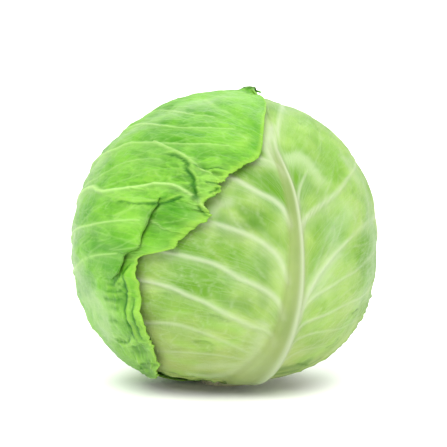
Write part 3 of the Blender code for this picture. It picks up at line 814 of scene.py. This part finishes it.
# The front leaf: the pale leaf with the broad midrib that faces the eye. It lay under another until the
# head was trimmed, so it is paler, and its veins stand out nearly white between smooth green panels.
# Its drawn veins run from the top down, but for the last two on the right and the last on the left.
FRONT_RIGHT_VEINS = [
    ([(1.8, 16), (2.2, 19), (3.1, 22), (5.6, 26.1), (9, 30), (13.7, 33.5)],
     (1.4, 0.8), (1.0, 0.3), (1.0, 0.4)),
    ([(9, 30), (13.7, 33.5), (22, 42), (34, 58)], (1.0, 0.8), (0.3, 0.1), (0.25, 0.1)),
    ([(2.1, 9), (2.8, 11.4), (6.9, 14.7), (14.7, 18.8), (22.1, 22.5), (31.4, 28.1), (42.2, 33.4), (62, 45),
      (76, 58)], (1.8, 0.8), (1.5, 0.4), (1.0, 0.5)),
    ([(2.8, -22), (4.6, -15.8), (6.3, -12.6), (9.6, -7.4), (14.1, -3), (20.8, 2), (29.1, 6.3), (41, 9.5),
      (56, 13), (82, 24)], (2.0, 0.8), (1.5, 0.3), (1.0, 0.5)),
    ([(2.8, -26), (4.3, -19.2), (7.4, -15.8), (11.6, -13.7), (17.1, -11.8), (22.2, -9.9), (29.5, -8.3),
      (40, -5), (64, 0)], (1.6, 0.7), (1.1, 0.3), (0.8, 0.4)),
    ([(2.8, -30), (4.7, -26), (9, -24.2), (14.9, -23), (21.6, -21.4), (29.6, -20.2), (36.2, -20.2),
      (50, -18)], (1.4, 0.7), (0.9, 0.3), (0.75, 0.4)),
    ([(2.4, -37), (4.3, -32.4), (10, -30.3), (15.5, -30.1), (23.3, -31), (30, -31.2), (40, -31)],
     (1.2, 0.6), (0.7, 0.2), (0.6, 0.3)),
    ([(2.2, -45), (4.5, -41), (9, -38.5), (15, -38), (22, -38.4)], (1.1, 0.5), (0.5, 0.2), (0.5, 0.3)),
    ([(31.8, 14.5), (33.1, 18.4), (38.1, 22.6)], (0.8, 0.6), (0.3, 0.1), (0.3, 0.2)),
    ([(40, 9), (44, 15), (46.5, 22), (47, 29)], (0.8, 0.5), (0.4, 0.1), (0.5, 0.2)),
]
FRONT_LEFT_VEINS = [
    ([(-0.6, 29), (-2.6, 32.6), (-5.2, 34.8), (-9.2, 36.4), (-20, 41), (-40, 54)],
     (2.2, 1.5), (1.3, 0.5), (1.0, 0.6)),
    ([(-2, 11), (-3.6, 16), (-6.9, 19.7), (-11.7, 22.5), (-16.3, 25.8), (-20.3, 28.8), (-32, 34), (-50, 46)],
     (2.2, 1.5), (1.5, 0.8), (0.9, 0.8)),
    ([(-3, -9), (-4.5, -4.5), (-6.8, -0.1), (-10.5, 3.5), (-14.7, 6.5), (-20.2, 9.1), (-25, 11), (-30, 12.6),
      (-42, 17), (-60, 26)], (1.9, 1.5), (1.2, 0.7), (0.8, 0.75)),
    ([(-18.1, 8.3), (-20.8, 11.6), (-23, 15.3)], (1.0, 0.9), (0.4, 0.2), (0.5, 0.3)),
    ([(-3.6, -22), (-5.6, -16.6), (-9.6, -12.9), (-14.9, -9.9), (-21.3, -7), (-27, -3.4), (-32.7, -1.3),
      (-41.7, 0.7), (-48.4, 2), (-62, 6)], (2.0, 1.4), (1.3, 0.6), (0.75, 0.8)),
    ([(-4.8, -33), (-6.5, -29), (-10.1, -26.6), (-15.5, -25), (-21.6, -22), (-26.1, -19.8), (-32, -16.8),
      (-38.2, -14.8), (-43.5, -12.6), (-52.2, -11), (-60, -10.9), (-72, -9)],
     (1.9, 1.4), (1.0, 0.8), (0.5, 0.95)),
    ([(-8, -44), (-10, -40), (-16, -36), (-26.6, -31), (-33.3, -29), (-40.2, -27.4), (-46.3, -27.8),
      (-52.8, -29.6), (-64, -33)], (1.5, 1.3), (0.4, 0.5), (0.25, 0.7)),
    ([(-9, -46), (-13, -42), (-21.8, -40), (-29.3, -39.8), (-38, -41), (-50, -45)],
     (1.3, 1.0), (0.3, 0.2), (0.3, 0.4)),
    ([(-0.9, 33), (-1.2, 38), (-1, 42.3), (2, 47.3), (7.7, 55.6), (19.1, 68.6), (28, 80)],
     (1.8, 1.5), (1.3, 0.6), (1.0, 0.55)),
]
front_leaf = {
    "azimuth": -65.0, "lift": 7.8, "vein_height": 1.25, "bow": 0.10,
    "right_wave": [(10, 0.8), (36, 0.3), (75, 0.3), (100, 1.2), (175, 1.4)],
    "left_wave": [(10, 0.4), (175, 0.4)],
    "right_margin": [(10, 80), (12.4, 69), (16.5, 61), (25, 60), (36, 60.5), (50, 61), (62, 64),
                     (75, 74), (90, 84), (110, 92), (130, 98), (150, 102), (175, 104)],
    "left_margin": [(10, 80), (12.4, 67), (16.5, 63.5), (22, 65.5), (28, 71), (34, 75.5), (42, 79.5),
                    (50, 82), (70, 85), (90, 88), (110, 94), (130, 99), (150, 102), (175, 104)],
    "veins": [(-42, 52), (-40.5, 57), (-36, 62), (-34, 66), (-29.5, 72), (-27.5, 80), (-22, 81),
              (-16, 92), (-13.5, 96), (-5, 112), (10, 120), (13, 127), (22, 135), (32, 145)],
    "rib_height": STRONG_RIB, "rib_end": 46,
    "rib_line": [(-79, -3), (-55, -6), (-44, -4.5), (-36, -2.6), (-20, -0.4), (12, 0.4), (25, -0.2),
                 (34, -1.4), (42, -1.8), (50, 0), (60, 3), (75, 5), (105, 4)],
    "seed": 51, "bulge": 0.9, "lines": 0.12, "crumple": 0.14, "clear_right": 1.0, "faint_tip": 0.8,
    "edge_from": 0.958,
    "right_frill": [(10, 0.2), (34, 0.7), (60, 0.7), (90, 0.7), (110, 0.4), (175, 0.2)],
    "left_frill": [(10, 0.4), (20, 1.0), (40, 1.1), (50, 0.6), (60, 0.2), (175, 0.2)],
    "drawn_veins": {"right": FRONT_RIGHT_VEINS, "left": FRONT_LEFT_VEINS},
    # Painted highlights along these paths
    "bright": [
        ([(-31, -25.5), (-25, -25.3), (-19, -27)], 3.0, 0.9),
        ([(-30, -33.5), (-24, -33.6), (-19, -32)], 3.2, 0.9),
        ([(-46, -24), (-42, -22), (-38, -21)], 2.5, 0.6), ([(-40, -36), (-34, -37), (-28, -36.5)], 3.0, 0.7),
        ([(-44, -46), (-38, -47), (-32, -46)], 3.0, 0.6), ([(-34, -17), (-28, -18), (-22, -19)], 3.0, 0.5),
        ([(-28, -54), (-34, -55.5), (-40, -56)], 2.0, 0.7),
        ([(8, 48), (18, 52), (27, 45), (34, 30)], 20.0, 0.9),
        ([(12, -44), (20, -42), (27, -36), (33, -28)], 5.0, 0.8), ([(36, -20), (40, -14)], 4.0, 0.5),
        ([(20, 30), (24, 15), (24, 0), (20, -14), (14, -26)], 13.0, 0.65),
        ([(3, 36), (8, 36), (11.5, 33), (13.6, 28.5)], 5.0, 0.9), ([(30, 41), (37, 34), (38, 25)], 6.0, 0.6),
    ],
    "bloom": [([(42, 34), (47, 5), (46, -12), (36, -22)], 9.0, 0.6),
              ([(26, 14), (18, 9), (17, 2), (13, -6), (8, -12)], 7.0, 0.8),
              ([(2, 36), (8, 36), (12, 32)], 4.0, 0.6)],
    # Painted shade along these paths, in the fold colour
    "dark": [([(5, -54), (10, -53.5), (16, -53.5)], 3.0, 1.0),
             ([(13, -49.5), (20, -51), (26, -48)], 2.0, 0.8), ([(12, -44), (18, -37), (25, -31)], 6.0, 0.35),
             ([(4, -50), (10, -48.5), (17, -46.5)], 4.0, 1.0),
             ([(20, -48), (27, -43), (33, -36), (36, -28)], 3.0, 0.35),
             ([(-26, 11.5), (-21, 10.5), (-15, 12)], 6.5, 1.0), ([(-19, 16), (-13, 15)], 4.5, 0.8),
             ([(-23, -16.5), (-17, -17)], 5.0, 0.7),
             ([(-28, -53.5), (-18, -54), (-9, -56), (-3, -56)], 4.0, 0.5),
             ([(-11.5, 2), (-11.5, -8), (-12, -16)], 4.5, 0.6), ([(18.4, -12), (19.6, -18)], 4.0, 0.2),
             ([(8.5, 25), (13, 21)], 3.0, 0.35), ([(17.8, 54.7), (18.2, 54)], 1.0, 0.7),
             ([(17.9, 46.5), (18.3, 46)], 1.0, 0.5), ([(-6, 27), (-12, 31), (-20, 34)], 6.0, 0.35),
             ([(-6, 6), (-14, 13), (-24, 19)], 6.0, 0.3)],
    "pale": [
        ([(2, 52), (-1, 47), (-4, 42), (-4, 37)], 3.6, 0.85), ([(-1, 31), (-6, 33.5), (-12, 35)], 2.0, 0.5),
        ([(2, 36), (8, 36), (12, 32.5), (14, 28)], 5.0, 0.45), ([(34, 37), (38, 28)], 5.0, 0.35),
        ([(5, -15), (9, -10), (14, -5), (20, -1)], 2.2, 0.4), ([(-42, 20), (-36, 16), (-32, 13)], 4.0, 0.45),
        ([(-10, -26), (-10.5, -35), (-12, -44), (-17, -51), (-23, -56)], 5.0, 0.45),
        ([(-30, 16), (-26.5, 19), (-23, 20)], 3.0, 0.5),
        ([(-16, -46), (-22, -46), (-30, -49)], 3.5, 0.4), ([(-20, -53), (-26, -55), (-33, -56)], 2.0, 0.5),
    ],
    # The small folds of the panels, then those of the lower margins, each with painted shade at its foot and
    # a painted highlight on its lip
    "steps": [
        ([(-55, -16), (-58, -21), (-57, -27), (-54, -33), (-49, -41)], 0.8, 3.0, 0.55),
        ([(-31, -21), (-26, -22), (-22, -24)], 0.5, 2.0, 0.35),
        ([(-36, -34), (-30, -33), (-26, -35)], 0.5, 2.0, 0.3),
        ([(-48, -58), (-42, -59.5), (-38, -58), (-34, -60), (-30, -57.5), (-26, -58.5), (-22, -56),
          (-17, -55)],
         0.9, 2.0, 0.9),
        ([(10.6, -45.6), (12.5, -46.6), (16.5, -48.5), (21.1, -51)], 0.6, 2.0, 0.9),
        ([(22.6, -40.5), (26.2, -38.8), (29.1, -35.7)], 0.6, 2.0, 0.7),
        ([(31.7, -25.8), (34.2, -24.7), (37.9, -25.1)], 0.8, 2.0, 0.95),
    ],
}
# Leaf that lay covered for long: pale, clear green panels between broad, near-white veins, faintly waxy.
# Its fold colour is painted shade in its hollows and creases, its groove colour painted shade beside the
# rib, and its crowns and the rib's crest get painted highlights
pale_tissue = leaf_tissue(
    "pale_cabbage_leaf",
    {"dark": "#568418", "light": "#88A450", "ground": "#9CA560", "vein": "#A7B391", "rib": "#778550",
     "fold": "#356310", "edge": "#3F6420", "wax": "#9DB389", "groove_shade": "#78864A", "crown_highlight": "#82AC42"},
    [("dark", "panel", 0.8), ("ground", "ground", 0.7), ("vein", "net", 0.06), ("vein", "line", 0.14),
     ("crown_highlight", "crown_highlight", 0.55), ("fold", "hollow_shade", 0.6), ("wax", "bloom", 0.5), ("vein", "vein", 0.9),
     ("rib", "rib", 0.9), ("groove_shade", "groove_shade", 0.5), ("vein", "pale_crest_and_highlight", 0.8), ("wax", "dust", 0.15),
     ("edge", "edge", 0.85), ("fold", "crease_shade", 0.9)],
    network=0.3, lines=0.4,
)
keep_leaf("front_blade", front_leaf, pale_tissue, "pale_leaf", "front_leaf", rows_per_step=6)


# The left leaf: the outermost and brightest. It dried a little at its margin, so it is puckered across its
# veins, ragged at the edge, pressed into one pleat where it laps over the front leaf, and curled at the tip.
# Its veins are drawn on its right half, which faces the eye, and run from the tip down.
LEFT_LEAF_VEINS = [
    ([(5, 52), (15, 60), (26.8, 66.5), (40.8, 72.2), (48.1, 76.7), (53, 82)],
     (1.0, 0.8), (0.6, 0.4), (0.7, 0.6)),
    ([(5, 40), (20, 49), (34.5, 56.9), (47.9, 62.4), (55.7, 66.9), (62.3, 75.4), (66, 84)],
     (1.1, 0.8), (0.8, 0.4), (0.85, 0.6)),
    ([(3, 18), (15, 27), (30, 36), (39.5, 41.5), (45.3, 47.1), (52.2, 51), (60.2, 55.1), (67.2, 59.8),
      (74.1, 67.5), (78.3, 73.3)], (1.2, 0.8), (2.2, 0.6), (1.0, 0.6)),
    ([(58, 54.3), (69, 55), (78.2, 54.6), (85.9, 52), (90.7, 52.1)], (1.1, 0.8), (2.0, 1.0), (0.95, 0.6)),
    ([(3, 6), (15, 15), (30, 22), (42.8, 28.1), (48.1, 32.3), (51.9, 36.5), (56.4, 40.7), (64, 46),
      (68.7, 48.3)], (1.0, 0.6), (1.0, 0.4), (0.6, 0.4)),
    ([(3, -2), (12, 8), (22, 14), (32.3, 20), (45.4, 24.8), (55.3, 24.5), (63.7, 27.6), (73.2, 32.9),
      (78.6, 36.4), (84.6, 38.1), (90.1, 37.1), (95.4, 34.3), (100, 30.5)],
     (1.5, 1.3), (0.8, 3.2), (1.0, 1.0)),
    ([(3, -14), (20, -2), (39.3, 6), (54.8, 9.8), (64.4, 12.7), (72.9, 15.3), (80, 17)],
     (1.2, 0.7), (1.1, 0.5), (0.95, 0.6)),
    ([(3, -26), (20, -14), (35, -10), (44, -7.8), (53.5, -4.1), (61.9, -1.6), (72.6, 0.3)],
     (1.2, 0.7), (1.1, 0.5), (0.95, 0.6)),
    ([(3, -36), (20, -27), (38, -22), (50, -21), (60, -22)], (1.1, 0.6), (0.8, 0.3), (0.6, 0.3)),
    ([(3, -44), (20, -39), (40, -37), (55, -38)], (1.0, 0.5), (0.6, 0.2), (0.5, 0.3)),
    ([(83.6, 17.8), (86.3, 16.8), (89.1, 14.8), (91.9, 16)], (0.7, 0.5), (0.5, 0.3), (0.7, 0.5)),
    ([(28, 84), (44, 87), (58, 92)], (1.0, 0.8), (0.4, 0.3), (0.5, 0.4)),
]
left_leaf = {
    "azimuth": 157.5, "lift": 10.7, "vein_height": 1.1, "bow": 0.08,
    "right_wave": [(10, 1.5), (110, 1.5), (128, 0.4), (175, 0.4)], "left_wave": [(10, 1.0), (175, 1.0)],
    "right_margin": [(10, 80), (12.4, 69), (16.5, 62), (25, 67), (37, 78), (46, 82), (60, 83), (70, 81.5),
                     (80, 81.5), (87, 80.5), (90, 83), (92, 91), (95.6, 95.7), (100.7, 101.7), (105, 106.5),
                     (108, 103.8), (111, 106), (116, 108), (122, 112.5), (126, 115), (130, 118),
                     (136, 118.5), (144, 117), (152, 115), (160, 113), (168, 109), (175, 102)],
    "left_margin": [(10, 80), (12.4, 69), (16.5, 62), (25, 64), (34, 67), (45, 70), (60, 71),
                    (80, 73), (100, 76), (120, 83), (140, 89), (160, 91), (168, 96), (175, 102)],
    "veins": [(-40, 58), (-34, 64), (-24, 76), (-18, 78), (-10, 89), (-5, 90), (0, 97), (5, 100),
              (10, 107), (14, 111), (18, 118), (24, 123), (28, 131), (36, 135), (44, 141), (52, 149)],
    "rib_height": STRONG_RIB,
    "rib_line": [(-79, 0), (-40, -2), (0, 0), (60, 2), (101, 0)],
    "fold": {
        "from_angle": 79, "to_angle": 109, "fade": 5, "step": 2.8, "lap": 0.02, "columns": (0.82, 0.87),
        "share": [(70, 0.88), (81, 0.89), (87, 0.92), (90, 0.91), (94, 0.86), (98, 0.83), (104, 0.80),
                  (115, 0.80)],
    },
    "curl": {"across": 3.0, "half_width": 5.5, "from_along": 94.5, "to_along": 99.5, "lift": 3.7},
    # The folds that run to the middle of the margin, the long ones below with their short side folds, those
    # of the torn margin, and the crumpled foot, each with painted shade at its foot and a painted highlight
    # on its lip
    "steps": [
        ([(66, 50.5), (72.1, 53.6), (77.7, 53.3), (81, 51.8), (84, 49.5)], 1.6, 5.0, 0.95),
        ([(79, 51.5), (83, 48.8), (87, 46.5), (90.1, 42.9), (95.2, 35.6), (98.7, 31.7)], 1.8, 7.0, 0.95),
        ([(78, 24.5), (82.3, 26.1), (86, 29.2), (88.7, 33.0), (90, 35)], 1.4, 4.0, 0.9),
        ([(66, 22), (70, 23.5), (75.3, 23.9), (80, 25.4), (84, 27)], 0.8, 4.0, 0.7),
        ([(96, 58), (90.8, 56.6), (88, 53.4), (84.6, 52), (80, 52.4)], 1.2, 4.0, 0.7),
        ([(79, -3), (75.6, -8), (72.2, -11), (67, -15.5)], 1.0, 5.0, 0.9),
        ([(76.4, -3), (75.8, -10.7), (75, -16.4), (72.6, -22), (70.4, -27.8), (68.8, -33.7), (66.5, -39),
          (66, -45)],
         1.5, 3.0, 0.95),
        ([(77.5, -19), (74.8, -26), (73.3, -31.2), (71.5, -36.3), (68.8, -43)], 1.2, 2.5, 0.85),
        ([(73.8, -13.5), (68.9, -14.2), (63, -14)], 0.8, 2.5, 0.5),
        ([(73, -17), (68, -17.4), (61, -17)], 0.8, 2.5, 0.5),
        ([(72, -20.8), (64.4, -21.2), (59, -20)], 0.9, 2.5, 0.6),
        ([(70, -24.2), (64.7, -25), (59, -24.6)], 0.8, 2.5, 0.5),
        ([(67.3, -29.4), (61.5, -30.2), (56, -28.8)], 0.8, 2.5, 0.5),
        ([(65, -38), (60, -41), (55, -40.8), (50, -38)], 1.0, 3.0, 0.7),
        ([(92, 45.6), (94.6, 46.9), (97, 48)], 1.0, 2.0, 1.0),
        ([(97.2, 39), (97.9, 42.6), (97.7, 46)], 0.9, 2.0, 0.9),
        ([(98, 33), (99.2, 37.4), (100.5, 41)], 0.9, 2.0, 0.9),
        ([(96.5, 32), (100.3, 28), (103, 26)], 1.2, 3.0, 1.0),
        ([(60, -56), (54.2, -54.6), (50.8, -50)], 1.0, 2.5, 0.8),
        ([(54, -59), (48, -57.6), (44, -54)], 1.0, 2.5, 0.8),
    ],
    "seed": 61, "bulge": 1.3, "lines": 0.2, "crumple": 0.36, "crowding": 0.6, "finest_rows": (14, 34),
    "crumples": [(88, 46, 13, 1.2), (93, 18, 9, 0.6), (72, 30, 14, 0.4), (74, -28, 9, 1.0),
                 (60, -50, 12, 1.3), (88, 66, 10, 0.5), (64, 40, 10, 0.3)],
    "right_frill": [(10, 0.4), (30, 0.8), (46, 1.4), (56, 0.8), (80, 0.5), (92, 0.9), (105, 1.3), (120, 1.3),
                    (128, 0.4), (158, 0.3), (168, 0.5), (175, 0.35)],
    "left_frill": [(10, 0.3), (160, 0.2), (175, 0.2)],
    # Painted shade along these paths, in the fold colour
    "dark": [([(66, 38.5), (72, 39.6), (77, 42.5), (81, 47)], 4.0, 0.5),
             ([(80, 22), (84, 19), (88, 22)], 4.0, 0.25),
             ([(38, 36), (50, 38), (58, 33), (54, 27)], 7.0, 0.3)],
    # Painted highlight along this path
    "bright": [([(72, 85), (76, 83), (80, 78)], 4.0, 0.8)],
    "bloom": [([(43, -12), (51.5, -16.6), (54.5, -22.4), (54.9, -29.5), (46, -36)], 7.0, 0.8),
              ([(30, 88), (38, 72), (35, 52), (33, 34)], 10.0, 0.5),
              ([(33, 34), (30, 18), (36, 0), (44, -14), (52, -24)], 14.0, 0.75)],
    "drawn_veins": {"right": LEFT_LEAF_VEINS},
}
# The outermost leaf's tissue: bright green between thin veins, brown where it dried. Its fold colour is
# painted shade in its creases and hollows, and its crowns and the rib's crest get painted highlights
bright_tissue = leaf_tissue(
    "bright_cabbage_leaf",
    {"dark": "#41830C", "light": "#67A22A", "ground": "#7EA554", "vein": "#9BBF6E", "rib": "#8DAD67",
     "fold": "#195B06", "edge": "#86AF3A", "wax": "#ADBD98", "crown_highlight": "#90BA48", "dry": "#2E2A08"},
    [("dark", "panel", 0.25), ("ground", "ground", 0.5), ("vein", "net", 0.05), ("vein", "line", 0.12),
     ("fold", "hollow_shade", 0.55), ("crown_highlight", "crown_highlight", 0.45), ("vein", "vein", 0.9), ("rib", "rib", 0.85),
     ("vein", "pale_crest_and_highlight", 0.7), ("wax", "dust", 0.08), ("wax", "bloom", 0.5), ("edge", "edge", 0.5),
     ("fold", "crease_shade", 0.9), ("dry", "dry", 0.85)],
    network=0.35, lines=0.9,
)
keep_leaf(
    "left_blade", left_leaf, bright_tissue, "bright_leaf", "left_leaf", side_columns=(114, 28), rib_columns=4
)


# The floor and the light: a plain white surface under broad, soft studio light, most of it from above and
# in front, a little from behind, and the rest from all round.
FLOOR_HALF_WIDTH = 60.0


def add_light(name, place, spread, strength):
    """A broad soft light from far away, shining from that side onto the head."""
    lamp = bpy.data.lights.new(name, "SUN")
    lamp.angle = math.radians(spread)
    lamp.energy = strength
    holder = bpy.data.objects.new(name, lamp)
    holder.location = place
    holder.rotation_euler = (head_centre - Vector(place)).to_track_quat("-Z", "Y").to_euler()
    bpy.context.scene.collection.objects.link(holder)


floor_sheet = bmesh.new()
bmesh.ops.create_grid(floor_sheet, x_segments=1, y_segments=1, size=FLOOR_HALF_WIDTH)
floor_mesh = mesh_of("floor", floor_sheet)
# Matt white paper, which shows the soft shadow under the head and nothing else
paper, tree, shader = new_tissue("white_paper_floor")
shader.inputs["Base Color"].default_value = linear("#FDFDFC")
shader.inputs["Roughness"].default_value = 0.9
floor_mesh.materials.append(paper)
floor = bpy.data.objects.new("floor", floor_mesh)
bpy.context.scene.collection.objects.link(floor)

add_light("key_light", (-0.12, -0.88, 1.06), 45.0, 2.8)
add_light("back_light", (0.25, 0.9, 1.2), 50.0, 1.3)
world = bpy.data.worlds.new("studio")
world.use_nodes = True
world.node_tree.nodes["Background"].inputs["Color"].default_value = (1, 1, 1, 1)
world.node_tree.nodes["Background"].inputs["Strength"].default_value = 1.15
bpy.context.scene.world = world
